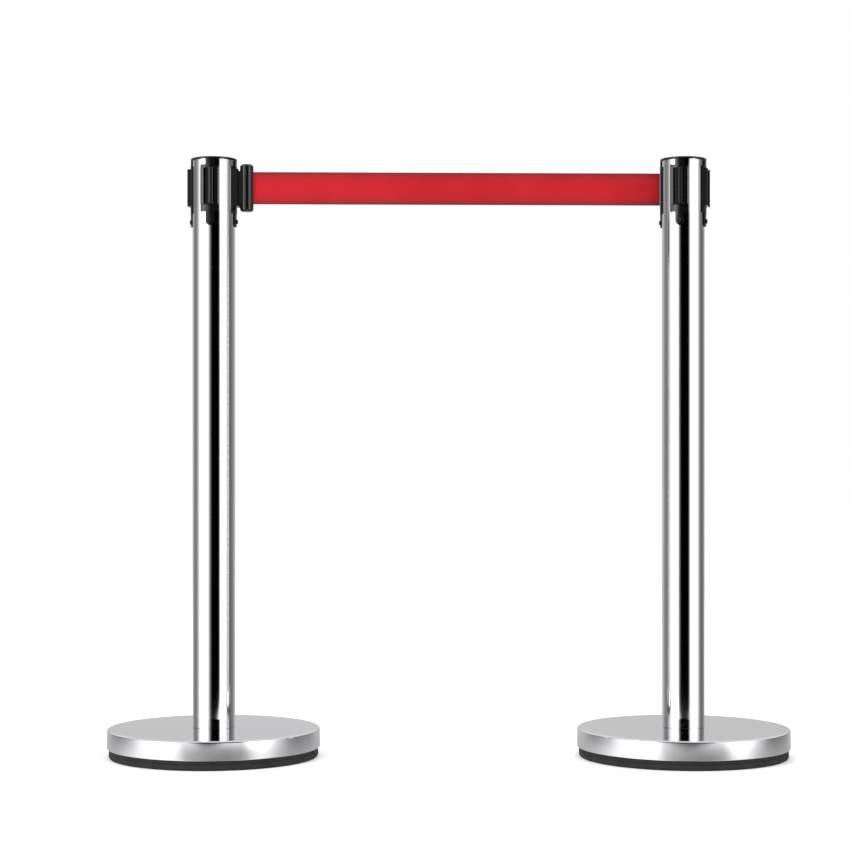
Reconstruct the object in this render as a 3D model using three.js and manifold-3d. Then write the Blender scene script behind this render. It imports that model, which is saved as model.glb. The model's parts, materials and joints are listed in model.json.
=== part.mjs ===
// A pair of retractable belt stanchions: two free-standing posts, joined by the belt of the right one.
// Millimetres, +Z up. The origin is on the floor midway between the posts, +X runs from the left post
// to the right one, and +Y points to the back.

import * as THREE from "three";
import { mergeVertices } from "three/addons/utils/BufferGeometryUtils.js";
import Module from "manifold-3d";

const wasm = await Module();
wasm.setup();

// ---- Driving dimensions ----

const POST_SPACING = 700;
const LEFT_TURN = -5; // how far each head is turned about its own post, in degrees
const RIGHT_TURN = -17;
const GAP = 0.3; // between pieces that touch

const RING_HEIGHT = 13.8; // rubber floor ring
const RING_RADIUS = 155.3;
const BASE_RADIUS = 158;
const BASE_EDGE = 42.7; // top of the cover at its rim
const BASE_CENTRE = 44; // top of the cover at the tube
const SHEET = 1.5; // thickness of the cover

const TUBE_RADIUS = 31.75;
const TUBE_WALL = 1.2;
const TUBE_INSIDE = TUBE_RADIUS - TUBE_WALL;

const BELT_HEIGHT = 846; // the belt's centre line above the floor; head pieces count z from it
const BELT_WIDTH = 48;
const BELT_THICKNESS = 0.8;
const BELT_HALF = BELT_WIDTH / 2;
const TUBE_TOP = 40.6;
const CAP_UNDERSIDE = 41;
const CAP_TOP = 44;
const CAP_RADIUS = 34.7;

const PLATE_RADIUS = 34.7; // the side plates wrap the tube, out to here
const PLATE_HALF = 14;
const PLATE_BOTTOM = -38;
const PLATE_TOP = 32;
const NECK_RADIUS = 34.2; // the neck and the tab follow the tube, a little deeper than the plate
const PLUG_BACK = 25.5; // the part of a side piece that reaches inside the tube starts here
const PLUG_HALF = 10.6;
const NECK_PLUG_HALF = 5.9;
const SCREW_Z = -50;

const DETAIL_ROOT = 31; // a receiver's rails and rib start inside its plate
const RAIL_HALF = 27.5; // half the rails' height
const RAIL_SIDE = 10.8; // the rails' walls, counted from the receiver's middle
const LIP_SIDE = 8.4; // the rails' lips reach this near to the middle
const LIP_BACK = 36.9; // and the claws' feet stand behind this face
const RIB_FACE = 36.5;
const RIB_HALF = 5.4;
const SILL_TOP = -25.4;

const CLAW_TIP = 35.05; // distance of a docked clip's claw tips from the post's axis
const CLAW_INSIDE = 5.6; // a claw beside the rib, between the lips
const CLAW_OUTSIDE = 8;
const FOOT_SIDE = 10.4;
const FOOT_DEPTH = 1.55;
const CLAW_BOTTOM = -25;
const CLAW_TOP = 24;
const PIN_X = 14; // the belt pin's place along the clip, counted from the claw tips
const CLIP_START = 4.5; // the clip's body along the same line
const CLIP_END = 24.5;
const CLIP_HALF = 35;
const PIN_RADIUS = 2;

const SPOOL_RADIUS = 20;
const CORE_RADIUS = 8;
const AXLE_RADIUS = 3;
const PILLAR_CIRCLE = 22.8;
const RIGHT_COIL = 16.3; // wound radius with 0.6 m of belt drawn out
const LEFT_COIL = 18.7; // wound radius with the belt fully in
const FEED_END = 10; // the feed's length outside the mouth

// ---- Materials ----

const material = (color, roughness, metalness) =>
  new THREE.MeshStandardMaterial({ color, roughness, metalness });

const polishedSteel = () => material(0xd8d9dc, 0.08, 1);
const zincSteel = () => material(0x9c9fa3, 0.35, 1);
const blackSteel = () => material(0x1d1d1f, 0.4, 1);
const springSteel = () => material(0x5d6470, 0.3, 1);
const castIron = () => material(0x3d3d40, 0.7, 0.6);
const blackPlastic = () => material(0x1b1b1d, 0.42, 0);
const rubber = () => material(0x141414, 0.85, 0);
const redBelt = () => material(0xc92f32, 0.8, 0);

// ---- Solids ----

const radians = THREE.MathUtils.degToRad;

function toSolid(geometry) {
  const bare = geometry.clone();
  bare.deleteAttribute("normal");
  bare.deleteAttribute("uv");
  const merged = mergeVertices(bare, 1e-4);
  return new wasm.Manifold(
    new wasm.Mesh({
      numProp: 3,
      vertProperties: new Float32Array(merged.attributes.position.array),
      triVerts: new Uint32Array(merged.index.array),
    }),
  );
}

function toGeometry(solid) {
  const { vertProperties, triVerts } = solid.getMesh();
  const geometry = new THREE.BufferGeometry();
  geometry.setAttribute("position", new THREE.BufferAttribute(vertProperties, 3));
  geometry.setIndex(new THREE.BufferAttribute(triVerts, 1));
  geometry.computeVertexNormals();
  return geometry;
}

function boxGeometry([x0, x1], [y0, y1], [z0, z1]) {
  const geometry = new THREE.BoxGeometry(x1 - x0, y1 - y0, z1 - z0);
  return geometry.translate((x0 + x1) / 2, (y0 + y1) / 2, (z0 + z1) / 2);
}

const box = (x, y, z) => toSolid(boxGeometry(x, y, z));

// A profile of [radius, height] points, turned about Z. It runs up its outer side.
function turned(profile, segments) {
  const points = profile.map(([r, z]) => new THREE.Vector2(r, z));
  return new THREE.LatheGeometry(points, segments).rotateX(Math.PI / 2);
}

function ring(inner, outer, z0, z1, segments) {
  return turned([[inner, z0], [outer, z0], [outer, z1], [inner, z1], [inner, z0]], segments);
}

function rodZ(radius, z0, z1, segments, x = 0, y = 0) {
  const geometry = new THREE.CylinderGeometry(radius, radius, z1 - z0, segments);
  return geometry.rotateX(Math.PI / 2).translate(x, y, (z0 + z1) / 2);
}

function rodX(radius, x0, x1, segments, z) {
  const geometry = new THREE.CylinderGeometry(radius, radius, x1 - x0, segments);
  return geometry.rotateZ(Math.PI / 2).translate((x0 + x1) / 2, 0, z);
}

function rodY(radius, y0, y1, segments, x, z) {
  const geometry = new THREE.CylinderGeometry(radius, radius, y1 - y0, segments);
  return geometry.translate(x, (y0 + y1) / 2, z);
}

// An outline in plan, standing from z0 to z1.
function standing(shape, z0, z1) {
  const geometry = new THREE.ExtrudeGeometry(shape, { depth: z1 - z0, bevelEnabled: false });
  return geometry.translate(0, 0, z0);
}

// An outline in the XZ plane, reaching from y0 to y1.
function crosswise(shape, y0, y1) {
  const geometry = new THREE.ExtrudeGeometry(shape, { depth: y1 - y0, bevelEnabled: false });
  return geometry.rotateX(Math.PI / 2).translate(0, y1, 0);
}

const tabScrewHole = (z) => toSolid(rodX(2.1, 20, 40, SMALL_SIDES, z));

const outline = (points) => new THREE.Shape(points.map(([x, y]) => new THREE.Vector2(x, y)));

function piece(name, shape, look) {
  const geometry = shape.isBufferGeometry ? shape : toGeometry(shape);
  const mesh = new THREE.Mesh(geometry, look);
  mesh.name = name;
  return mesh;
}

function placed(group, x, y, z, turn) {
  group.position.set(x, y, z);
  group.rotation.z = radians(turn);
  return group;
}

// ---- Base and tube ----

const BASE_SIDES = 40;
const TUBE_SIDES = 32;
const INNER_SIDES = 24;
const BARREL_SIDES = 28;
const SMALL_SIDES = 10;
const BOLT_RADIUS = 5;
const WEIGHT_RADIUS = 148;
const WEIGHT_TOP = 32.8;
const STEP_TOP = 18.5; // the ring's inner step, which carries the weight
const RING_INSIDE = 137;
const LIP_INSIDE = 152;
const CORNER = 3; // radius of the cover's upper edge

// A pressed cover: a lip turned in over the floor ring, an upright rim and a nearly flat top.
function baseCover() {
  const rimBottom = RING_HEIGHT + GAP;
  const corner = (radius, angle) => [
    BASE_RADIUS - CORNER + radius * Math.cos(radians(angle)),
    BASE_EDGE - CORNER + radius * Math.sin(radians(angle)),
  ];
  const angles = [0, 45, 86];
  const inside = CORNER - SHEET;
  return turned(
    [
      [LIP_INSIDE, rimBottom],
      [BASE_RADIUS - 1, rimBottom],
      [BASE_RADIUS, rimBottom + 1],
      ...angles.map((angle) => corner(CORNER, angle)),
      [BOLT_RADIUS + 1, BASE_CENTRE],
      [BOLT_RADIUS + 1, BASE_CENTRE - SHEET],
      ...angles.toReversed().map((angle) => corner(inside, angle)),
      [BASE_RADIUS - SHEET, rimBottom + SHEET],
      [LIP_INSIDE, rimBottom + SHEET],
      [LIP_INSIDE, rimBottom],
    ],
    BASE_SIDES,
  );
}

function floorRing() {
  return turned(
    [
      [RING_INSIDE, 0],
      [RING_RADIUS, 0],
      [RING_RADIUS, RING_HEIGHT],
      [WEIGHT_RADIUS + 1, RING_HEIGHT],
      [WEIGHT_RADIUS + 1, STEP_TOP],
      [RING_INSIDE, STEP_TOP],
      [RING_INSIDE, 0],
    ],
    BASE_SIDES,
  );
}

// The weight's hub carries the middle of the cover.
function baseWeight() {
  const bore = BOLT_RADIUS + 0.6;
  const hubTop = BASE_CENTRE - SHEET - GAP;
  return turned(
    [
      [bore, STEP_TOP + GAP],
      [WEIGHT_RADIUS, STEP_TOP + GAP],
      [WEIGHT_RADIUS, WEIGHT_TOP],
      [34, WEIGHT_TOP],
      [30, hubTop],
      [bore, hubTop],
      [bore, STEP_TOP + GAP],
    ],
    TUBE_SIDES,
  );
}

function baseBolt() {
  const headTop = STEP_TOP - 2.5;
  const head = toSolid(rodZ(9.8, headTop - 7, headTop, 6));
  return head.add(toSolid(rodZ(BOLT_RADIUS, headTop - 1, 66, 16)));
}

// The tube is slotted for the four side pieces: wide behind each plate, narrow up to the rim.
function tube() {
  const bottom = BASE_CENTRE + GAP;
  const top = BELT_HEIGHT + TUBE_TOP;
  const level = (z) => BELT_HEIGHT + z;
  let solid = toSolid(ring(TUBE_INSIDE, TUBE_RADIUS, bottom, top, TUBE_SIDES));
  for (let side = 0; side < 4; side += 1) {
    const wideHalf = PLUG_HALF + 0.4;
    const narrowHalf = NECK_PLUG_HALF + 0.4;
    const wide = box([20, 40], [-wideHalf, wideHalf], [level(PLATE_BOTTOM - GAP), level(PLATE_TOP + GAP)]);
    const narrow = box([20, 40], [-narrowHalf, narrowHalf], [level(PLATE_TOP), top + 5]);
    const openings = wide.add(narrow).add(tabScrewHole(level(SCREW_Z)));
    solid = solid.subtract(openings.rotate([0, 0, 90 * side]));
  }
  return solid;
}

function addBaseAndTube(post, prefix, headTurn) {
  const plugBottom = BASE_CENTRE + GAP;
  post.add(piece(`${prefix}base_cover`, baseCover(), polishedSteel()));
  post.add(piece(`${prefix}base_ring`, floorRing(), rubber()));
  post.add(piece(`${prefix}base_weight`, baseWeight(), castIron()));
  post.add(piece(`${prefix}base_bolt`, baseBolt(), zincSteel()));
  const washer = ring(BOLT_RADIUS + 0.4, 22, STEP_TOP - 2.2, STEP_TOP, INNER_SIDES);
  post.add(piece(`${prefix}base_washer`, washer, zincSteel()));
  const plug = ring(BOLT_RADIUS + 0.4, TUBE_INSIDE - GAP, plugBottom, plugBottom + 24, INNER_SIDES);
  post.add(piece(`${prefix}tube_plug`, plug, zincSteel()));
  const tubeMesh = piece(`${prefix}tube`, tube(), polishedSteel());
  tubeMesh.rotation.z = radians(headTurn);
  post.add(tubeMesh);
}

// ---- Side pieces: three receivers and the mouth, drawn facing +X ----

// The plate wraps the tube, its plug passes through the slot, and a screw goes through its tab. The
// details stand on the plate, and everything outside the tube is cut to fit it.
function sidePiece(details) {
  const tabBottom = -58;
  const tabHalf = 6.5;
  const neckTop = TUBE_TOP - GAP;
  const across = [28, 40];
  const skin = (radius) => toSolid(rodZ(radius, -80, 80, 96));
  const plate = box(across, [-PLATE_HALF, PLATE_HALF], [PLATE_BOTTOM, PLATE_TOP]);
  const tab = box(across, [-tabHalf, tabHalf], [tabBottom + tabHalf, PLATE_BOTTOM + 1]);
  const tabEnd = toSolid(rodX(tabHalf, ...across, 16, tabBottom + tabHalf));
  const neck = box(across, [-6.8, 6.8], [PLATE_TOP - 1, neckTop]);
  let outside = tab.add(tabEnd).add(neck).intersect(skin(NECK_RADIUS));
  outside = outside.add(plate.intersect(skin(PLATE_RADIUS)));
  for (const detail of details) {
    outside = outside.add(detail);
  }
  outside = outside.subtract(toSolid(rodZ(TUBE_RADIUS + GAP, -80, 80, 64)));
  const plug = box([PLUG_BACK, 33], [-PLUG_HALF, PLUG_HALF], [PLATE_BOTTOM, PLATE_TOP]);
  const neckPlug = box([PLUG_BACK, 33], [-NECK_PLUG_HALF, NECK_PLUG_HALF], [PLATE_TOP - 1, neckTop]);
  return outside.add(plug).add(neckPlug).subtract(tabScrewHole(SCREW_Z));
}

// A beaded rib between two rails. A clip's claws slide down beside the rib, with their feet behind the
// rails' lips, until they stand on the sill.
function receiver() {
  const rail = outline([
    [DETAIL_ROOT, RAIL_SIDE],
    [LIP_BACK, RAIL_SIDE],
    [LIP_BACK, LIP_SIDE],
    [38.7, LIP_SIDE],
    [37.4, 13.3],
    [DETAIL_ROOT, 13.3],
  ]);
  const chamfered = RIB_FACE - 0.7;
  const flat = RIB_HALF - 1.1;
  const beads = outline([
    [DETAIL_ROOT, -RIB_HALF],
    [chamfered, -RIB_HALF],
    [RIB_FACE, -flat],
    [RIB_FACE, -1.2],
    [chamfered, 0],
    [RIB_FACE, 1.2],
    [RIB_FACE, flat],
    [chamfered, RIB_HALF],
    [DETAIL_ROOT, RIB_HALF],
  ]);
  const oneRail = toSolid(standing(rail, -RAIL_HALF, RAIL_HALF));
  const rib = toSolid(standing(beads, -RAIL_HALF, RAIL_HALF));
  const sill = box([DETAIL_ROOT, 37.4], [-11.5, 11.5], [-RAIL_HALF, SILL_TOP]);
  return sidePiece([oneRail, oneRail.mirror([0, 1, 0]), rib, sill]);
}

// The belt's outlet: the same plate, with an upright slit and nothing in front of it.
function mouth() {
  const slit = box([20, 40], [-1.7, 1.7], [-26, 26]);
  return sidePiece([]).subtract(slit);
}

function tabScrew() {
  const head = toSolid(rodX(3.4, 34.5, 35.9, SMALL_SIDES, SCREW_Z));
  return head.add(toSolid(rodX(1.8, 25.5, 35, SMALL_SIDES, SCREW_Z)));
}

// ---- Cassette and cap ----

const FRAME_FLOOR = -44;
const LID_BOTTOM = 34.3;

// Upright rods on the diagonals, between the four side pieces.
function diagonalRods(radius, z0, z1) {
  const rods = [45, 135, 225, 315].map(radians).map((angle) => {
    const x = PILLAR_CIRCLE * Math.cos(angle);
    const y = PILLAR_CIRCLE * Math.sin(angle);
    return toSolid(rodZ(radius, z0, z1, 8, x, y));
  });
  return wasm.Manifold.union(rods);
}

// A cup whose skirt takes the tab screws, with four pillars that carry the lid.
function cassetteFrame() {
  const skirtBottom = -60;
  const outer = TUBE_INSIDE - GAP;
  let solid = toSolid(
    turned(
      [
        [27, skirtBottom],
        [outer, skirtBottom],
        [outer, FRAME_FLOOR],
        [AXLE_RADIUS + GAP, FRAME_FLOOR],
        [AXLE_RADIUS + GAP, FRAME_FLOOR - 3],
        [27, FRAME_FLOOR - 3],
        [27, skirtBottom],
      ],
      INNER_SIDES,
    ),
  );
  solid = solid.add(diagonalRods(2.2, FRAME_FLOOR - 1, LID_BOTTOM - GAP));
  for (let side = 0; side < 4; side += 1) {
    solid = solid.subtract(tabScrewHole(SCREW_Z).rotate([0, 0, 90 * side]));
  }
  return solid;
}

function cassetteLid() {
  const disc = toSolid(ring(AXLE_RADIUS + GAP, 25.2, LID_BOTTOM, LID_BOTTOM + 3, INNER_SIDES));
  return disc.subtract(diagonalRods(1.8, LID_BOTTOM - 1, LID_BOTTOM + 4));
}

// A flat cap with a small edge chamfer. Its four pegs press into the lid.
function cap() {
  const disc = toSolid(
    turned(
      [
        [0, CAP_UNDERSIDE],
        [CAP_RADIUS - 0.4, CAP_UNDERSIDE],
        [CAP_RADIUS, CAP_UNDERSIDE + 0.4],
        [CAP_RADIUS, CAP_TOP - 1],
        [CAP_RADIUS - 1.6, CAP_TOP],
        [0, CAP_TOP],
      ],
      TUBE_SIDES,
    ),
  );
  return disc.add(diagonalRods(1.5, LID_BOTTOM + GAP, CAP_UNDERSIDE + 1));
}

function spool() {
  const bore = AXLE_RADIUS + 0.4;
  const outside = 26.6;
  const inside = 24.8;
  return turned(
    [
      [bore, -outside],
      [SPOOL_RADIUS, -outside],
      [SPOOL_RADIUS, -inside],
      [CORE_RADIUS, -inside],
      [CORE_RADIUS, inside],
      [SPOOL_RADIUS, inside],
      [SPOOL_RADIUS, outside],
      [bore, outside],
      [bore, -outside],
    ],
    INNER_SIDES,
  );
}

// A drum open at the top, where the spool's lower flange closes it.
function springCup() {
  const bottom = FRAME_FLOOR + 1;
  const wall = 1.2;
  return turned(
    [
      [AXLE_RADIUS + 0.4, bottom],
      [SPOOL_RADIUS, bottom],
      [SPOOL_RADIUS, -27],
      [SPOOL_RADIUS - wall, -27],
      [SPOOL_RADIUS - wall, bottom + wall],
      [AXLE_RADIUS + 0.4, bottom + wall],
      [AXLE_RADIUS + 0.4, bottom],
    ],
    INNER_SIDES,
  );
}

// The side points of a strip that follows a plan path: all its left ones, then its right ones back.
function stripSides(path, thickness) {
  const left = [];
  const right = [];
  path.forEach((point, i) => {
    const before = path[Math.max(i - 1, 0)];
    const after = path[Math.min(i + 1, path.length - 1)];
    const along = after.clone().sub(before).normalize();
    const aside = new THREE.Vector2(-along.y, along.x).multiplyScalar(thickness / 2);
    left.push(point.clone().add(aside));
    right.unshift(point.clone().sub(aside));
  });
  return { left, right };
}

// A flat spring wound from the axle out to the drum.
function mainspring() {
  const turns = 3.5;
  const stepsPerTurn = 14;
  const first = 5;
  const last = 18;
  const path = [];
  for (let i = 0; i <= turns * stepsPerTurn; i += 1) {
    const radius = first + ((last - first) * i) / (turns * stepsPerTurn);
    const angle = (2 * Math.PI * i) / stepsPerTurn;
    path.push(new THREE.Vector2(radius * Math.cos(angle), radius * Math.sin(angle)));
  }
  const { left, right } = stripSides(path, 0.8);
  return standing(new THREE.Shape([...left, ...right]), -41, -28.5);
}

function addHead(head, prefix, coilRadius) {
  const add = (name, shape, look) => head.add(piece(prefix + name, shape, look));
  add("cap", cap(), blackPlastic());
  add("cassette_frame", cassetteFrame(), blackPlastic());
  add("cassette_lid", cassetteLid(), blackPlastic());
  add("axle", rodZ(AXLE_RADIUS, FRAME_FLOOR - 3, LID_BOTTOM + 3, 16), zincSteel());
  add("spool", spool(), blackPlastic());
  add("spring_cup", springCup(), blackPlastic());
  add("mainspring", mainspring(), springSteel());
  const coil = ring(CORE_RADIUS + GAP, coilRadius, -BELT_HALF, BELT_HALF, INNER_SIDES);
  add("belt_coil", coil, redBelt());
}

// One side piece and its screw, turned to face the given way from the head's own +X.
function addSide(head, prefix, name, shape, facing) {
  const side = placed(new THREE.Group(), 0, 0, 0, facing);
  side.add(piece(`${prefix}${name}`, shape, blackPlastic()));
  side.add(piece(`${prefix}screw_${name.replace("receiver_", "")}`, tabScrew(), blackSteel()));
  head.add(side);
}

// ---- Belt clip, drawn from its claw tips at x = 0 towards the belt at +X ----

const BARREL_RADIUS = (CLIP_END - CLIP_START) / 2;
const BARREL_X = (CLIP_START + CLIP_END) / 2;
const BARREL_CUT = 2.5;
const CLAW_ROOT = 9.8; // the body is whole up to here, and the claws stand on this part
const SPLIT = 3.5; // from there on the body reaches this far back, and the cover lies behind it
const CLIP_SCREW_X = 18.5;
const CLIP_SCREW_Z = 31;

// The clip's upright barrel, cut down to a box in plan.
function barrelPart(x, y) {
  const edge = CLIP_HALF - BARREL_CUT;
  const narrow = BARREL_RADIUS - BARREL_CUT;
  const side = [[narrow, -CLIP_HALF], [BARREL_RADIUS, -edge], [BARREL_RADIUS, edge], [narrow, CLIP_HALF]];
  const barrel = toSolid(turned([[0, -CLIP_HALF], ...side, [0, CLIP_HALF]], BARREL_SIDES));
  return barrel.translate([BARREL_X, 0, 0]).intersect(box(x, y, [-40, 40]));
}

// Two claws with feet turned outwards, and a chamber for the pin that opens to the back.
function clipBody() {
  let solid = barrelPart([0, 30], [-12, SPLIT]).add(barrelPart([0, CLAW_ROOT], [0, 12]));
  const leg = box([0, CLAW_ROOT], [CLAW_INSIDE, CLAW_OUTSIDE], [CLAW_BOTTOM, CLAW_TOP]);
  const foot = box([0, FOOT_DEPTH], [CLAW_INSIDE, FOOT_SIDE], [CLAW_BOTTOM, CLAW_TOP]);
  const claw = leg.add(foot);
  solid = solid.add(claw).add(claw.mirror([0, 1, 0]));
  const chamber = box([8, 21.5], [-4, SPLIT + 1], [-27, 27]);
  const slit = box([21, CLIP_END + 1], [-1.6, 1.6], [-25, 25]);
  const pinSeat = box([PIN_X - 2.3, PIN_X + 2.3], [-2.3, SPLIT + 1], [-30.5, 30.5]);
  solid = solid.subtract(chamber).subtract(slit).subtract(pinSeat);
  for (const z of [-CLIP_SCREW_Z, CLIP_SCREW_Z]) {
    solid = solid.subtract(toSolid(rodY(1.3, -3, SPLIT + 1, SMALL_SIDES, CLIP_SCREW_X, z)));
  }
  return solid;
}

function clipCover() {
  let solid = barrelPart([CLAW_ROOT + GAP, 30], [SPLIT + GAP, 12]);
  for (const z of [-CLIP_SCREW_Z, CLIP_SCREW_Z]) {
    solid = solid.subtract(toSolid(rodY(1.4, 0, 12, SMALL_SIDES, CLIP_SCREW_X, z)));
    solid = solid.subtract(toSolid(rodY(2.5, 6.8, 12, SMALL_SIDES, CLIP_SCREW_X, z)));
  }
  return solid;
}

function clipScrew(z) {
  const head = toSolid(rodY(2.1, 7.1, 8.1, SMALL_SIDES, CLIP_SCREW_X, z));
  return head.add(toSolid(rodY(1, -2.5, 7.4, SMALL_SIDES, CLIP_SCREW_X, z)));
}

function addClip(group, prefix) {
  const add = (name, shape, look) => group.add(piece(prefix + name, shape, look));
  add("clip_body", clipBody(), blackPlastic());
  add("clip_cover", clipCover(), blackPlastic());
  add("clip_screw_low", clipScrew(-CLIP_SCREW_Z), blackSteel());
  add("clip_screw_high", clipScrew(CLIP_SCREW_Z), blackSteel());
  add("belt_pin", rodZ(PIN_RADIUS, -30, 30, 12, PIN_X, 0), zincSteel());
}

// ---- Belt: a tape that stands on edge along a plan path ----

function circle(centre, radius, sides) {
  return Array.from({ length: sides }, (_, i) => {
    const angle = (2 * Math.PI * i) / sides;
    const spoke = new THREE.Vector2(Math.cos(angle), Math.sin(angle));
    return centre.clone().add(spoke.multiplyScalar(radius));
  });
}

// With a pin, the tape ends in a sewn loop round it.
function tape(path, pin) {
  const loopInside = PIN_RADIUS + GAP;
  const loopOutside = loopInside + BELT_THICKNESS;
  const { left, right } = stripSides(path, BELT_THICKNESS);
  const loop = [];
  if (pin) {
    const steps = 16;
    const arrival = path.at(-1).clone().sub(pin);
    const half = Math.asin(BELT_THICKNESS / 2 / loopOutside);
    for (let i = 0; i <= steps; i += 1) {
      const angle = arrival.angle() - half - ((2 * Math.PI - 2 * half) * i) / steps;
      const spoke = new THREE.Vector2(Math.cos(angle), Math.sin(angle));
      loop.push(pin.clone().add(spoke.multiplyScalar(loopOutside)));
    }
    left.pop();
    right.shift();
  }
  const shape = new THREE.Shape([...left, ...loop, ...right]);
  if (pin) {
    shape.holes.push(new THREE.Path(circle(pin, loopInside, 12)));
  }
  return standing(shape, BELT_HEIGHT - BELT_HALF, BELT_HEIGHT + BELT_HALF);
}

// A point of a head's own plan, as a point of the whole pair's plan.
function planPoint(postX, turn, x, y) {
  const origin = new THREE.Vector2();
  return new THREE.Vector2(x, y).rotateAround(origin, radians(turn)).add(new THREE.Vector2(postX, 0));
}

// From the coil's side, along a tangent to the slit of the mouth, which faces the head's own -X.
function pathFromCoil(postX, turn, coilRadius) {
  const radius = coilRadius + GAP + BELT_THICKNESS / 2;
  const slitStart = -26;
  const leave = Math.PI - Math.acos(radius / -slitStart);
  const wrap = radians(50);
  const steps = 5;
  const path = [];
  for (let i = 0; i <= steps; i += 1) {
    const angle = leave - wrap * (1 - i / steps);
    path.push(planPoint(postX, turn, radius * Math.cos(angle), radius * Math.sin(angle)));
  }
  path.push(planPoint(postX, turn, slitStart, 0));
  return path;
}

// ---- The two posts ----

// The head's own -X faces where its belt leaves; the other three sides carry receivers.
function makePost(prefix, postX, turn, coilRadius, receiverNames) {
  const post = placed(new THREE.Group(), postX, 0, 0, 0);
  addBaseAndTube(post, prefix, turn);
  const head = placed(new THREE.Group(), 0, 0, BELT_HEIGHT, turn);
  addHead(head, prefix, coilRadius);
  addSide(head, prefix, "mouth", mouth(), 180);
  receiverNames.forEach((name, i) => {
    addSide(head, prefix, `receiver_${name}`, receiver(), -90 + 90 * i);
  });
  post.add(head);
  return post;
}

const leftX = -POST_SPACING / 2;
const rightX = POST_SPACING / 2;
const leftHeadTurn = LEFT_TURN - 90; // the left post's own belt leaves at the back
const retractedClipX = -(PLATE_RADIUS + 0.8 + CLIP_END);
const mouthX = -(PLATE_RADIUS + 0.5);

const pair = new THREE.Group();
pair.add(makePost("left_", leftX, leftHeadTurn, LEFT_COIL, ["outer", "front", "inner"]));
pair.add(makePost("right_", rightX, RIGHT_TURN, RIGHT_COIL, ["front", "outer", "back"]));

// The right post's clip hangs in the left post's inner receiver.
const dock = planPoint(leftX, LEFT_TURN, CLAW_TIP, 0);
const dockedClip = placed(new THREE.Group(), dock.x, dock.y, BELT_HEIGHT, LEFT_TURN);
addClip(dockedClip, "right_");
pair.add(dockedClip);

// The left post's own clip rests outside its mouth.
const rest = planPoint(leftX, leftHeadTurn, retractedClipX, 0);
const retractedClip = placed(new THREE.Group(), rest.x, rest.y, BELT_HEIGHT, leftHeadTurn);
addClip(retractedClip, "left_");
pair.add(retractedClip);

// The drawn-out belt runs straight from the right mouth to the docked clip, and on to its pin.
const alongDocked = (distance) => planPoint(leftX, LEFT_TURN, CLAW_TIP + distance, 0);
const dockedPin = alongDocked(PIN_X);
const clipExit = alongDocked(CLIP_END + 0.5);
const rightMouth = planPoint(rightX, RIGHT_TURN, mouthX, 0);
const pull = clipExit.clone().sub(rightMouth).normalize();
const onPull = (distance) => rightMouth.clone().add(pull.clone().multiplyScalar(distance));
const spanPath = [onPull(FEED_END), clipExit, alongDocked(PIN_X + 3)];
pair.add(piece("right_belt", tape(spanPath, dockedPin), redBelt()));

const feedPath = pathFromCoil(rightX, RIGHT_TURN, RIGHT_COIL);
feedPath.push(rightMouth, onPull(FEED_END - GAP));
pair.add(piece("right_belt_feed", tape(feedPath), redBelt()));

const retractedPin = planPoint(leftX, leftHeadTurn, retractedClipX + PIN_X, 0);
const leftPath = pathFromCoil(leftX, leftHeadTurn, LEFT_COIL);
leftPath.push(planPoint(leftX, leftHeadTurn, retractedClipX + PIN_X + 3, 0));
pair.add(piece("left_belt", tape(leftPath, retractedPin), redBelt()));

export default pair;
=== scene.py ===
"""A pair of retractable belt stanchions: polished posts, black heads and a red belt, in a pale studio.

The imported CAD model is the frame: it gives every place and size. Fine meshes stand for the visible solids
and ride on the same bodies; the pieces inside the tubes and covers stay as they are. Units are metres.
"""

import json
import math

import bmesh
import bpy
from mathutils import Matrix, Vector


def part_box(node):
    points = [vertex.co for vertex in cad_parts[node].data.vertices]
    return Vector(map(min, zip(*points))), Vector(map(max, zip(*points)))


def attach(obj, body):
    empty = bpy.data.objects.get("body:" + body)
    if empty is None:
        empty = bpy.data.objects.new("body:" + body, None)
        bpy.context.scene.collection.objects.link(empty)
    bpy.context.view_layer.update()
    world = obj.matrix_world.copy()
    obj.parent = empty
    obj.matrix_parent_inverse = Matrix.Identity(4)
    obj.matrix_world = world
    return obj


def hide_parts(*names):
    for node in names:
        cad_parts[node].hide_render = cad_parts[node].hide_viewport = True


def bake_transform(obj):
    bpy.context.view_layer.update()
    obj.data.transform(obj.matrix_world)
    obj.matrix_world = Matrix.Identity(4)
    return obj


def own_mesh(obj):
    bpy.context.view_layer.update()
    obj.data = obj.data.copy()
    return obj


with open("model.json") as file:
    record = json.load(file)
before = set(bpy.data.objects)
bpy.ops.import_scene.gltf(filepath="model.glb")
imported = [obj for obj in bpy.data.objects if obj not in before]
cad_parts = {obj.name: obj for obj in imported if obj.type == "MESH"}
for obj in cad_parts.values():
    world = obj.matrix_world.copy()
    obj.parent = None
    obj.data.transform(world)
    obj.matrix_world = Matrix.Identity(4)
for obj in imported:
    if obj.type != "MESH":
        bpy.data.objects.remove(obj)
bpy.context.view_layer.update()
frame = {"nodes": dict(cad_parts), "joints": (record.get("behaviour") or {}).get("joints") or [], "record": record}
nodes = frame["nodes"]
joints = {joint["name"]: joint for joint in frame["joints"]}

MM = 0.001
SIDES = ("left", "right")
RECEIVERS = {"left": ("outer", "front", "inner"), "right": ("front", "outer", "back")}


# ---- Places and sizes taken from the frame ----


def centre_of(node):
    low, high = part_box(node)
    return (low + high) / 2


def post_axis(side):
    """The post's axis, as a point on the floor."""
    middle = centre_of(f"{side}_base_cover")
    return Vector((middle.x, middle.y, 0))


PULL = Vector(joints["belt_retract"]["axis"])  # along the drawn-out belt, towards the right post
BACK_PULL = Vector(joints["left_belt_pull"]["axis"])  # the way the left post's own belt leaves
BELT_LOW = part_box("right_belt")[0].z
BELT_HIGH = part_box("right_belt")[1].z
BELT_MIDDLE = (BELT_LOW + BELT_HIGH) / 2


# ---- Mesh tools ----


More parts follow.
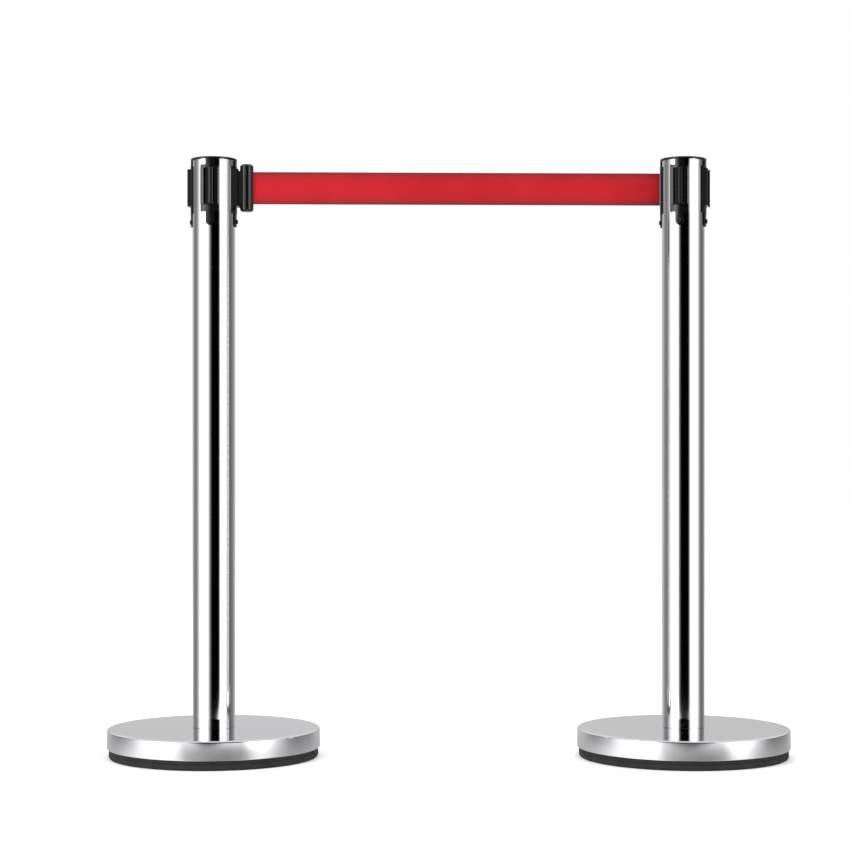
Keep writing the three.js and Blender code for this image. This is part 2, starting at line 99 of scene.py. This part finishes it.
def mesh_object(name, bm, sharp_angle=35):
    """An object from a bmesh, smooth but for its edges sharper than the angle."""
    bmesh.ops.remove_doubles(bm, verts=bm.verts, dist=1e-7)
    bmesh.ops.recalc_face_normals(bm, faces=bm.faces)
    for face in bm.faces:
        face.smooth = True
    for edge in bm.edges:
        if len(edge.link_faces) == 2:
            edge.smooth = edge.calc_face_angle() < math.radians(sharp_angle)
    mesh = bpy.data.meshes.new(name)
    bm.to_mesh(mesh)
    bm.free()
    obj = bpy.data.objects.new(name, mesh)
    bpy.context.scene.collection.objects.link(obj)
    return obj


def even_normals(obj, keep_sharp=True):
    """Keeps broad faces flat or truly round right up to their rounded edges."""
    normals = obj.modifiers.new("even_normals", "WEIGHTED_NORMAL")
    normals.keep_sharp = keep_sharp


def rounded(points, radius, steps=5):
    """A closed outline with every corner rounded. A point's third value, if any, is its own radius."""
    result = []
    count = len(points)
    for i, point in enumerate(points):
        corner = Vector(point[:2])
        before = Vector(points[i - 1][:2]) - corner
        after = Vector(points[(i + 1) % count][:2]) - corner
        own = point[2] if len(point) > 2 else radius
        if own <= 0:
            result.append(corner)
            continue
        half = before.angle(after) / 2
        reach = min(own / math.tan(half), before.length * 0.49, after.length * 0.49)
        own = reach * math.tan(half)
        start = corner + before.normalized() * reach
        end = corner + after.normalized() * reach
        centre = corner + (before.normalized() + after.normalized()).normalized() * (own / math.sin(half))
        sweep = (start - centre).angle_signed(end - centre)
        for step in range(steps + 1):
            turn = Matrix.Rotation(-sweep * step / steps, 2)
            result.append(centre + turn @ (start - centre))
    return result


def lathe(name, outline, axis, segments):
    """A closed outline of (radius, height) points turned about an upright axis."""
    bm = bmesh.new()
    rings = []
    for radius, height in outline:
        if radius < 1e-6:
            pole = bm.verts.new((axis.x, axis.y, height))
            rings.append([pole] * segments)
            continue
        ring = []
        for i in range(segments):
            angle = 2 * math.pi * i / segments
            x, y = radius * math.cos(angle), radius * math.sin(angle)
            ring.append(bm.verts.new((axis.x + x, axis.y + y, height)))
        rings.append(ring)
    for k, ring in enumerate(rings):
        above = rings[(k + 1) % len(rings)]
        for i in range(segments):
            j = (i + 1) % segments
            corners = []
            for vert in (ring[i], ring[j], above[j], above[i]):
                if vert not in corners:
                    corners.append(vert)
            if len(corners) > 2:
                bm.faces.new(corners)
    obj = mesh_object(name, bm)
    even_normals(obj)
    return obj


# ---- Materials ----


class Shader:
    """A material with one Principled shader, and short ways to add nodes to it."""

    def __init__(self, name, colour, roughness, metallic=0.0):
        self.material = bpy.data.materials.new(name)
        self.material.use_nodes = True
        self.tree = self.material.node_tree
        self.shader = self.tree.nodes["Principled BSDF"]
        self.set("Base Color", (*colour, 1))
        self.set("Roughness", roughness)
        self.set("Metallic", metallic)

    def set(self, socket, value):
        self.shader.inputs[socket].default_value = value

    def add(self, kind, inputs=None, **settings):
        node = self.tree.nodes.new(kind)
        for key, value in settings.items():
            setattr(node, key, value)
        for key, value in (inputs or {}).items():
            if isinstance(value, bpy.types.NodeSocket):
                self.tree.links.new(value, node.inputs[key])
            else:
                node.inputs[key].default_value = value
        return node

    def link(self, output, socket):
        self.tree.links.new(output, self.shader.inputs[socket])

    def place(self, scale=(1, 1, 1), turn=0.0):
        """Object coordinates, turned about Z and scaled."""
        coords = self.add("ShaderNodeTexCoord").outputs["Object"]
        turned = self.add("ShaderNodeMapping", {"Vector": coords, "Rotation": (0, 0, turn)})
        return self.add("ShaderNodeMapping", {"Vector": turned.outputs[0], "Scale": scale}).outputs[0]

    def noise(self, scale, detail=3.0, vector=None, roughness=0.5):
        inputs = {"Scale": scale, "Detail": detail, "Roughness": roughness}
        inputs["Vector"] = vector or self.place()
        return self.add("ShaderNodeTexNoise", inputs).outputs["Fac"]

    def spread(self, value, low, high, start=0.3, end=0.7):
        """Maps a value that runs from start to end onto low to high."""
        inputs = {"Value": value, "From Min": start, "From Max": end, "To Min": low, "To Max": high}
        return self.add("ShaderNodeMapRange", inputs).outputs["Result"]

    def math(self, operation, first, second=0.0):
        node = self.add("ShaderNodeMath", operation=operation)
        for socket, value in zip(node.inputs, (first, second)):
            if isinstance(value, bpy.types.NodeSocket):
                self.tree.links.new(value, socket)
            else:
                socket.default_value = value
        return node.outputs[0]

    def mix(self, factor, first, second):
        node = self.add("ShaderNodeMix", data_type="RGBA")
        for key, value in (("Factor", factor), ("A", first), ("B", second)):
            sockets = [s for s in node.inputs if s.name == key and s.enabled]
            if isinstance(value, bpy.types.NodeSocket):
                self.tree.links.new(value, sockets[0])
            else:
                sockets[0].default_value = value if key == "Factor" else (*value, 1)
        return [s for s in node.outputs if s.enabled][0]

    def bump(self, height, strength, distance):
        inputs = {"Height": height, "Strength": strength, "Distance": distance}
        self.link(self.add("ShaderNodeBump", inputs).outputs[0], "Normal")


def polished_steel(name, grain):
    """Mirror-polished steel: faint wipe marks, and a trace of the polishing wheel along the grain."""
    s = Shader(name, (0.87, 0.87, 0.885), 0.06, 1.0)
    wipes = s.noise(9, 4)
    s.link(s.spread(wipes, 0.035, 0.085), "Roughness")
    tint = s.noise(3, 2)
    s.link(s.mix(s.spread(tint, 0, 1), (0.85, 0.85, 0.87), (0.89, 0.89, 0.9)), "Base Color")
    lines = s.noise(1, 2, s.place(grain))
    s.bump(lines, 0.04, 0.02 * MM)
    return s.material


def black_plastic():
    """Moulded plastic: a fine spark-eroded skin and slightly uneven gloss."""
    s = Shader("black_plastic", (0.004, 0.004, 0.005), 0.1)
    s.link(s.spread(s.noise(60, 3), 0.07, 0.12), "Roughness")
    s.link(s.mix(s.noise(25, 2), (0.0025, 0.0025, 0.003), (0.005, 0.005, 0.006)), "Base Color")
    s.bump(s.noise(1800, 2), 0.15, 0.03 * MM)
    return s.material


def rubber():
    s = Shader("rubber", (0.012, 0.012, 0.012), 0.8)
    s.link(s.spread(s.noise(40, 4), 0.65, 0.9), "Roughness")
    s.link(s.mix(s.noise(120, 3), (0.008, 0.008, 0.008), (0.022, 0.021, 0.02)), "Base Color")
    s.bump(s.noise(900, 3), 0.4, 0.1 * MM)
    return s.material


def plated(name, colour, roughness):
    s = Shader(name, colour, roughness, 1.0)
    s.link(s.spread(s.noise(300, 3), roughness * 0.8, roughness * 1.3), "Roughness")
    darker = tuple(0.8 * c for c in colour)
    s.link(s.mix(s.noise(90, 3), darker, colour), "Base Color")
    s.bump(s.noise(1200, 2), 0.15, 0.03 * MM)
    return s.material


def cast_iron():
    s = Shader("cast_iron", (0.05, 0.05, 0.052), 0.75, 0.5)
    s.link(s.mix(s.noise(70, 4), (0.03, 0.03, 0.032), (0.08, 0.078, 0.076)), "Base Color")
    s.bump(s.noise(350, 4), 0.6, 0.3 * MM)
    return s.material


def webbing(name, turn):
    """Woven polyester: a twill of fine yarns, darkened towards both long edges by painted shade. turn lays X along
    the belt.
    """
    s = Shader(name, (0.62, 0.026, 0.036), 0.72)
    place = s.place(turn=turn)
    split = s.add("ShaderNodeSeparateXYZ", {"Vector": place})
    along = split.outputs["X"]
    up = s.math("SUBTRACT", split.outputs["Z"], BELT_MIDDLE)
    yarn = 1.1 * MM
    weft_yarn = 0.9 * MM
    painted_edge_shade_width = 5.4 * MM  # the darker edge fades over this width
    twill = s.math("ADD", along, up)
    ridge = s.math("SINE", s.math("MULTIPLY", twill, 2 * math.pi / yarn))
    weft = s.math("SINE", s.math("MULTIPLY", along, 2 * math.pi / weft_yarn))
    weave = s.math("ADD", s.math("MULTIPLY", ridge, 0.6), s.math("MULTIPLY", weft, 0.4))
    # Painted shade: the belt's colour darkens towards both long edges, fading inwards from each edge.
    from_edge = s.math("SUBTRACT", (BELT_HIGH - BELT_LOW) / 2, s.math("ABSOLUTE", up))
    edge = s.math("EXPONENT", s.math("MULTIPLY", from_edge, -1 / painted_edge_shade_width))
    # Random mottle in the red, plus painted light: a ramp along the belt makes it brighter towards its left end.
    mottle_and_painted_light = s.math("ADD", s.noise(14, 4, place), s.spread(along, 0.35, -0.1, -280 * MM, -60 * MM))
    body = s.mix(s.spread(mottle_and_painted_light, 0, 1), (0.385, 0.008, 0.012), (0.50, 0.013, 0.021))
    yarns = s.mix(s.spread(weave, 0, 1, -1, 1), (0.35, 0.007, 0.011), body)
    # The near-black colour blended in here is the painted edge shade.
    s.link(s.mix(s.math("MULTIPLY", edge, 0.75), yarns, (0.02, 0.018, 0.026)), "Base Color")
    s.link(s.spread(s.noise(500, 2, place), 0.62, 0.82), "Roughness")
    s.set("Sheen Weight", 0.06)
    s.set("Sheen Roughness", 0.45)
    s.set("Specular IOR Level", 0.15)
    s.bump(weave, 0.5, 0.12 * MM)
    return s.material


STEEL_TUBE = polished_steel("polished_tube", (700, 700, 6))
STEEL_COVER = polished_steel("polished_cover", (160, 160, 900))
PLASTIC = black_plastic()
RUBBER = rubber()
ZINC = plated("zinc_steel", (0.55, 0.56, 0.58), 0.32)
BLACK_STEEL = plated("black_steel", (0.05, 0.05, 0.055), 0.4)
SPRING = plated("spring_steel", (0.16, 0.18, 0.22), 0.3)
IRON = cast_iron()
BELT_TURN = -math.atan2(PULL.y, PULL.x)
BACK_TURN = -math.atan2(BACK_PULL.y, BACK_PULL.x)
WEBBING = webbing("red_belt", BELT_TURN)
WEBBING_BACK = webbing("red_belt_back", BACK_TURN)

BY_SLOT = {
    "polished_steel": STEEL_TUBE,
    "black_plastic": PLASTIC,
    "rubber": RUBBER,
    "zinc_steel": ZINC,
    "black_steel": BLACK_STEEL,
    "spring_steel": SPRING,
    "cast_iron": IRON,
    "red_belt": WEBBING,
}


# ---- CAD nodes that stay: their finish, and soft edges on the moulded ones ----

slot_of = {row["node"]: row["material_slot"] for row in frame["record"]["subparts"]}
for node_name, node in nodes.items():
    node.data.materials.clear()
    node.data.materials.append(BY_SLOT[slot_of[node_name]])


def soften(node_name, width):
    """Joins a moulded solid's flat facets and rounds its edges."""
    obj = nodes[node_name]
    flat = obj.modifiers.new("flat_faces", "DECIMATE")
    flat.decimate_type = "DISSOLVE"
    flat.angle_limit = math.radians(1)
    bevel = obj.modifiers.new("soft_edges", "BEVEL")
    bevel.width = width
    bevel.segments = 3
    bevel.limit_method = "ANGLE"
    bevel.angle_limit = math.radians(30)
    even_normals(obj, keep_sharp=False)


for side in SIDES:
    for receiver_name in RECEIVERS[side]:
        soften(f"{side}_receiver_{receiver_name}", 0.5 * MM)
    soften(f"{side}_mouth", 0.5 * MM)
    soften(f"{side}_clip_body", 0.8 * MM)
    soften(f"{side}_clip_cover", 0.8 * MM)


def finish_piece(obj, material, body, slot_name, *replaced):
    obj.data.materials.append(material)
    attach(obj, body)
    if replaced:
        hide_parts(*replaced)
    return obj


# ---- Posts ----

TUBE_SEGMENTS = 160
COVER_SEGMENTS = 192
TUBE_WALL = 1.2 * MM


def build_tube(side):
    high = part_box(f"{side}_tube")[1]
    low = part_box(f"{side}_tube")[0]
    axis = post_axis(side)
    outer = (high.x - low.x) / 2
    inner = outer - TUBE_WALL
    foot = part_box(f"{side}_base_cover")[1].z
    outline = [(inner, foot, 0), (outer, foot, 0), (outer, high.z), (inner, high.z)]
    outline = rounded(outline, 0.25 * MM, 3)
    tube = lathe(f"{side}_fine_tube", outline, axis, TUBE_SEGMENTS)
    return finish_piece(tube, STEEL_TUBE, f"{side}_post", "polished_steel", f"{side}_tube")


def build_cover(side):
    low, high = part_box(f"{side}_base_cover")
    radius = (high.x - low.x) / 2
    sheet = 1.5 * MM
    edge = high.z - 1.3 * MM
    bore = 6 * MM
    lip = 6 * MM
    corner = 3 * MM
    outline = rounded(
        [
            (radius - lip, low.z, 0.3 * MM),
            (radius, low.z, 1.5 * MM),
            (radius, edge, corner),
            (bore, high.z, 0.3 * MM),
            (bore, high.z - sheet, 0.3 * MM),
            (radius - sheet, edge - sheet, corner - sheet),
            (radius - sheet, low.z + sheet, 0.5 * MM),
            (radius - lip, low.z + sheet, 0.3 * MM),
        ],
        0.3 * MM,
        10,
    )
    cover = lathe(f"{side}_fine_cover", outline, post_axis(side), COVER_SEGMENTS)
    return finish_piece(cover, STEEL_COVER, f"{side}_post", "polished_steel", f"{side}_base_cover")


def build_ring(side):
    low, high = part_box(f"{side}_base_ring")
    outer = (high.x - low.x) / 2
    inner = 137 * MM
    shoulder = 13.8 * MM
    step = 149 * MM
    groove = 0.8 * MM
    outline = rounded(
        [
            (inner, low.z, 1 * MM),
            (outer - 1.5 * MM, low.z, 1 * MM),
            (outer, low.z + 2.5 * MM, 1.2 * MM),
            (outer, low.z + 8 * MM, 0.4 * MM),
            (outer - groove, low.z + 8.6 * MM, 0.3 * MM),
            (outer - groove, low.z + 9.6 * MM, 0.3 * MM),
            (outer, low.z + 10.2 * MM, 0.4 * MM),
            (outer, shoulder, 0.8 * MM),
            (step, shoulder, 0.4 * MM),
            (step, high.z, 0.4 * MM),
            (inner, high.z, 0.6 * MM),
        ],
        0.5 * MM,
        4,
    )
    ring = lathe(f"{side}_fine_ring", outline, post_axis(side), COVER_SEGMENTS)
    return finish_piece(ring, RUBBER, f"{side}_post", "rubber", f"{side}_base_ring")


def build_cap(side):
    low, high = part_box(f"{side}_cap")
    radius = (high.x - low.x) / 2
    underside = high.z - 3 * MM
    outline = rounded(
        [
            (0, underside, 0),
            (radius, underside, 0.5 * MM),
            (radius, high.z - 0.4 * MM, 1.4 * MM),
            (radius - 5 * MM, high.z, 2 * MM),
            (0, high.z, 0),
        ],
        0.5 * MM,
        6,
    )
    cap = lathe(f"{side}_fine_cap", outline, post_axis(side), TUBE_SEGMENTS)
    return finish_piece(cap, PLASTIC, f"{side}_post", "black_plastic", f"{side}_cap")


for side in SIDES:
    build_tube(side)
    build_cover(side)
    build_ring(side)
    build_cap(side)


# ---- Belt ----


def belt_strip(name, path, steps_across=24):
    """A tape on edge along plan points, with firm rounded edges a little thicker than its middle."""
    half_height = (BELT_HIGH - BELT_LOW) / 2
    thin, thick = 0.22 * MM, 0.36 * MM
    profile = []
    for i in range(steps_across + 1):
        up = -half_height + 2 * half_height * i / steps_across
        from_edge = half_height - abs(up)
        bead = max(0.0, 1 - abs(from_edge - 1.2 * MM) / (1.2 * MM))
        half = thin + (thick - thin) * bead * bead * (3 - 2 * bead)
        if from_edge < 1e-9:
            half = 0.08 * MM
        profile.append((up, half))
    section = [(up, half) for up, half in profile] + [(up, -half) for up, half in reversed(profile)]
    bm = bmesh.new()
    rows = []
    for i, point in enumerate(path):
        along = (path[min(i + 1, len(path) - 1)] - path[max(i - 1, 0)]).normalized()
        aside = Vector((-along.y, along.x, 0))
        row = []
        for up, half in section:
            row.append(bm.verts.new(point + aside * half + Vector((0, 0, BELT_MIDDLE + up))))
        rows.append(row)
    for row, following in zip(rows, rows[1:]):
        for k in range(len(section)):
            n = (k + 1) % len(section)
            bm.faces.new((row[k], row[n], following[n], following[k]))
    bm.faces.new(rows[0])
    bm.faces.new(list(reversed(rows[-1])))
    return mesh_object(name, bm, 60)


def plan_centre(node):
    """The centre of a node that is symmetric about an upright plane, on the floor."""
    middle = centre_of(node)
    return Vector((middle.x, middle.y, 0))


def coil_to_mouth(side, coil_radius, outward):
    """The hidden run: a part turn round the coil, then a tangent to the mouth's slit."""
    slit = 26 * MM
    wrap = math.radians(50)
    steps = 16
    leave = math.acos(coil_radius / slit)
    points = []
    for i in range(steps + 1):
        angle = leave - wrap * (1 - i / steps)
        spoke = Matrix.Rotation(-angle, 3, "Z") @ outward
        points.append(post_axis(side) + spoke * coil_radius)
    return points + [post_axis(side) + outward * slit]


def coil_edge(side):
    """The radius at which the belt leaves its coil."""
    low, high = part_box(f"{side}_belt_coil")
    return (high.x - low.x) / 2 + 0.7 * MM


def resampled(path, step):
    """The same line with a point at each corner and one every step or less between them."""
    points = [path[0]]
    for start, end in zip(path, path[1:]):
        count = max(1, math.ceil((end - start).length / step))
        points += [start.lerp(end, i / count) for i in range(1, count + 1)]
    return points


def finish_bending(belt, material, replaced):
    """Gives a run of belt its material and hides the CAD node it stands for."""
    belt.data.materials.append(material)
    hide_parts(replaced)


CLIP_TAIL = 10.5 * MM  # from a clip's pin to its outer end
MOUTH_FACE = 34.7 * MM  # from a post's axis to its mouth's face
PIN_EDGE = 3 * MM  # from a pin's axis to where its straight run of belt starts
clip_line = (plan_centre("right_belt_pin") - post_axis("left")).normalized()
clip_exit = plan_centre("right_belt_pin") + clip_line * (CLIP_TAIL + 0.5 * MM)
span_end_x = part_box("right_belt")[1].x
span_end = clip_exit + PULL * ((span_end_x - clip_exit.x) / PULL.x)


def build_span():
    """The drawn-out belt: from the docked clip's pin to just outside the right mouth."""
    path = [plan_centre("right_belt_pin") + clip_line * PIN_EDGE, clip_exit, span_end]
    span = belt_strip("right_belt_span", resampled(path, 5 * MM))
    span.visible_glossy = False
    finish_piece(span, WEBBING, "left_post", "red_belt", "right_belt")
    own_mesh(span)


def build_outlet():
    """Its other end: out of the right post's coil and mouth, as far as the drawn-out belt."""
    outward = (plan_centre("right_screw_mouth") - post_axis("right")).normalized()
    mouth = post_axis("right") + outward * (MOUTH_FACE + 0.5 * MM)
    inside = coil_to_mouth("right", coil_edge("right"), outward)
    path = resampled([*inside, mouth], 2 * MM) + resampled([mouth, span_end], 0.2 * MM)[1:]
    outlet = belt_strip("right_belt_outlet", path)
    outlet.visible_glossy = False
    finish_bending(outlet, WEBBING, "right_belt_feed")
    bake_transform(outlet)


def build_left_run():
    """The left post's own belt, fully in, with its clip outside the mouth at the back."""
    mouth = post_axis("left") + BACK_PULL * MOUTH_FACE
    stretch = mouth + BACK_PULL * 4 * MM
    pin = plan_centre("left_belt_pin")
    inside = coil_to_mouth("left", coil_edge("left"), BACK_PULL)
    path = resampled([*inside, mouth], 2 * MM)
    path += resampled([mouth, stretch], 0.06 * MM)[1:]
    path += resampled([stretch, pin - BACK_PULL * PIN_EDGE], 2 * MM)[1:]
    run = belt_strip("left_belt_run", path)
    finish_bending(run, WEBBING_BACK, "left_belt")
    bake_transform(run)


build_span()
build_outlet()
build_left_run()


# ---- Stage ----


def build_world():
    """Pale to the eye. Gloss sees a studio: two bright walls beside the camera, dim side walls, and a grey
    one at the back.

    The stops of its walls, and of what lies below them, are (azimuth in degrees, tone), with 0 on -Y.
    """
    world = bpy.data.worlds.new("studio")
    bpy.context.scene.world = world
    world.use_nodes = True
    world.cycles.sampling_method = "NONE"
    tree = world.node_tree
    tree.nodes.clear()

    def add(kind, inputs=(), **settings):
        node = tree.nodes.new(kind)
        for key, value in settings.items():
            setattr(node, key, value)
        for key, value in dict(inputs).items():
            if isinstance(value, bpy.types.NodeSocket):
                tree.links.new(value, node.inputs[key])
            else:
                node.inputs[key].default_value = value
        return node.outputs[0]

    def ramp(value, stops):
        node = tree.nodes.new("ShaderNodeValToRGB")
        tree.links.new(value, node.inputs[0])
        elements = node.color_ramp.elements
        while len(elements) < len(stops):
            elements.new(0.5)
        for element, (place, tone) in zip(elements, stops):
            element.position = place
            element.color = (tone, tone, tone * 1.01, 1)
        return node.outputs[0]

    direction = tree.nodes.new("ShaderNodeTexCoord").outputs["Generated"]
    split = tree.nodes.new("ShaderNodeSeparateXYZ")
    tree.links.new(direction, split.inputs[0])
    x, y, z = split.outputs
    minus_y = add("ShaderNodeMath", {0: y, 1: -1.0}, operation="MULTIPLY")
    azimuth = add("ShaderNodeMath", {0: x, 1: minus_y}, operation="ARCTAN2")
    share = add("ShaderNodeMath", {0: azimuth, 1: 1 / (2 * math.pi), 2: 0.5}, operation="MULTIPLY_ADD")

    def mix(factor, first, second):
        return add("ShaderNodeMixRGB", {0: factor, 1: first, 2: second})

    def switch(start, end):
        """0 up to the direction's height start, and 1 from end on."""
        return add("ShaderNodeMapRange", {0: z, 1: start, 2: end, 3: 0.0, 4: 1.0})

    def tones(stops):
        return ramp(share, [(0.5 + degrees / 360, tone) for degrees, tone in stops])

    walls = tones(
        [(-180, 0.61), (-145, 0.52), (-130, 0.316), (-118, 0.21), (-108, 0.20), (-100, 0.29), (-92, 0.43),
         (-85, 0.76), (-78, 1.10), (-68, 1.8), (-58, 3.2), (-45, 4.0), (-36, 2.4), (-28, 1.2), (36, 1.2),
         (46, 2.6), (60, 2.6), (70, 1.6), (77, 1.0), (86, 0.575), (93.6, 0.283), (102, 0.155), (111, 0.16),
         (121, 0.205), (133, 0.275), (149, 0.475), (180, 0.61)]
    )
    below = tones(
        [(-180, 0.47), (-141, 0.48), (-125, 0.54), (-112, 0.65), (-101, 0.79), (-92, 0.95), (-83, 1.12),
         (-51, 1.1), (-44, 0.97), (-37, 0.93), (-31, 0.82), (-24, 0.5), (-17, 0.38), (-4, 0.29), (9, 0.24),
         (22, 0.24), (33, 0.30), (41, 0.45), (49, 0.82), (56, 1.0), (63, 0.95), (71, 0.75), (80, 0.55),
         (89, 0.45), (98, 0.42), (109, 0.40), (180, 0.47)]
    )
    low = switch(-0.128, -0.137)
    high = switch(0.19, 0.3)
    ceiling = (0.75, 0.75, 0.76, 1)
    studio = mix(high, mix(low, walls, below), ceiling)
    path = tree.nodes.new("ShaderNodeLightPath")
    glossy = add("ShaderNodeBackground", {"Color": studio, "Strength": 1.0})
    soft = add("ShaderNodeBackground", {"Color": (1, 1, 1, 1), "Strength": 1.15})
    eye = add("ShaderNodeBackground", {"Color": (1, 1, 1, 1), "Strength": 1.0})
    lit = add("ShaderNodeMixShader", {0: path.outputs["Is Glossy Ray"], 1: soft, 2: glossy})
    seen = add("ShaderNodeMixShader", {0: path.outputs["Is Camera Ray"], 1: lit, 2: eye})
    output = tree.nodes.new("ShaderNodeOutputWorld")
    tree.links.new(seen, output.inputs["Surface"])


def build_floor():
    bm = bmesh.new()
    bmesh.ops.create_grid(bm, x_segments=8, y_segments=8, size=30)
    floor = mesh_object("floor", bm)
    s = Shader("pale_floor", (0.9, 0.9, 0.9), 0.9)
    s.link(s.mix(s.noise(2, 3), (0.89, 0.89, 0.89), (0.92, 0.92, 0.92)), "Base Color")
    floor.data.materials.append(s.material)
    floor.visible_glossy = False


def build_dark_card():
    """A tall dark card beside the camera, fading to the bright walls at both sides. Only gloss sees it.

    Its stops are (x, tone). The studio's walls show past its ends.
    """
    stops = [
        (-1.70, 1.1), (-1.35, 0.50), (-0.99, 0.125), (-0.71, 0.016), (-0.42, 0.0),
        (1.33, 0.0), (1.68, 0.16), (2.10, 1.15),
    ]
    distance = 2.9
    bottom, top = -0.328, 2.2
    low, high = stops[0][0], stops[-1][0]
    bm = bmesh.new()
    corners = [
        (low, -distance, bottom),
        (high, -distance, bottom),
        (high, -distance, top),
        (low, -distance, top),
    ]
    bm.faces.new([bm.verts.new(corner) for corner in corners])
    card = mesh_object("dark_card", bm)
    material = bpy.data.materials.new("dark_card")
    material.use_nodes = True
    tree = material.node_tree
    tree.nodes.clear()
    coords = tree.nodes.new("ShaderNodeTexCoord")
    split = tree.nodes.new("ShaderNodeSeparateXYZ")
    across = tree.nodes.new("ShaderNodeMapRange")
    fade = tree.nodes.new("ShaderNodeValToRGB")
    glow = tree.nodes.new("ShaderNodeEmission")
    output = tree.nodes.new("ShaderNodeOutputMaterial")
    tree.links.new(coords.outputs["Object"], split.inputs[0])
    tree.links.new(split.outputs["X"], across.inputs["Value"])
    across.inputs["From Min"].default_value = low
    across.inputs["From Max"].default_value = high
    tree.links.new(across.outputs["Result"], fade.inputs[0])
    elements = fade.color_ramp.elements
    while len(elements) < len(stops):
        elements.new(0.5)
    for element, (place, tone) in zip(elements, stops):
        element.position = (place - low) / (high - low)
        element.color = (tone, tone, tone, 1)
    tree.links.new(fade.outputs[0], glow.inputs["Color"])
    tree.links.new(glow.outputs[0], output.inputs["Surface"])
    card.data.materials.append(material)
    card.visible_camera = False
    card.visible_diffuse = False
    card.visible_shadow = False
    card.visible_transmission = False


def build_light(name, place, target, size, watts):
    data = bpy.data.lights.new(name, "AREA")
    data.shape = "DISK"
    data.size = size
    data.energy = watts
    light = bpy.data.objects.new(name, data)
    light.location = place
    light.rotation_euler = (Vector(target) - Vector(place)).to_track_quat("-Z", "Y").to_euler()
    light.visible_glossy = False
    light.visible_camera = False
    bpy.context.scene.collection.objects.link(light)


def build_camera():
    data = bpy.data.cameras.new("camera")
    data.lens = 86.6
    data.sensor_width = 36
    data.dof.use_dof = False
    camera = bpy.data.objects.new("camera", data)
    data.shift_y = 0.0477
    camera.location = (-0.0352, -3.05, 0.433)
    camera.rotation_euler = (math.pi / 2, 0, 0)
    bpy.context.scene.collection.objects.link(camera)
    bpy.context.scene.camera = camera


build_world()
build_floor()
build_dark_card()
build_light("key", (-2.2, -2.0, 2.6), (0, 0, 0.5), 1.6, 60)
build_light("fill", (2.4, -1.6, 2.2), (0, 0, 0.5), 2.0, 30)
build_light("back", (0.5, 2.6, 2.6), (0, 0, 0.5), 2.0, 30)
build_camera()
bpy.context.scene.view_settings.view_transform = "Standard"
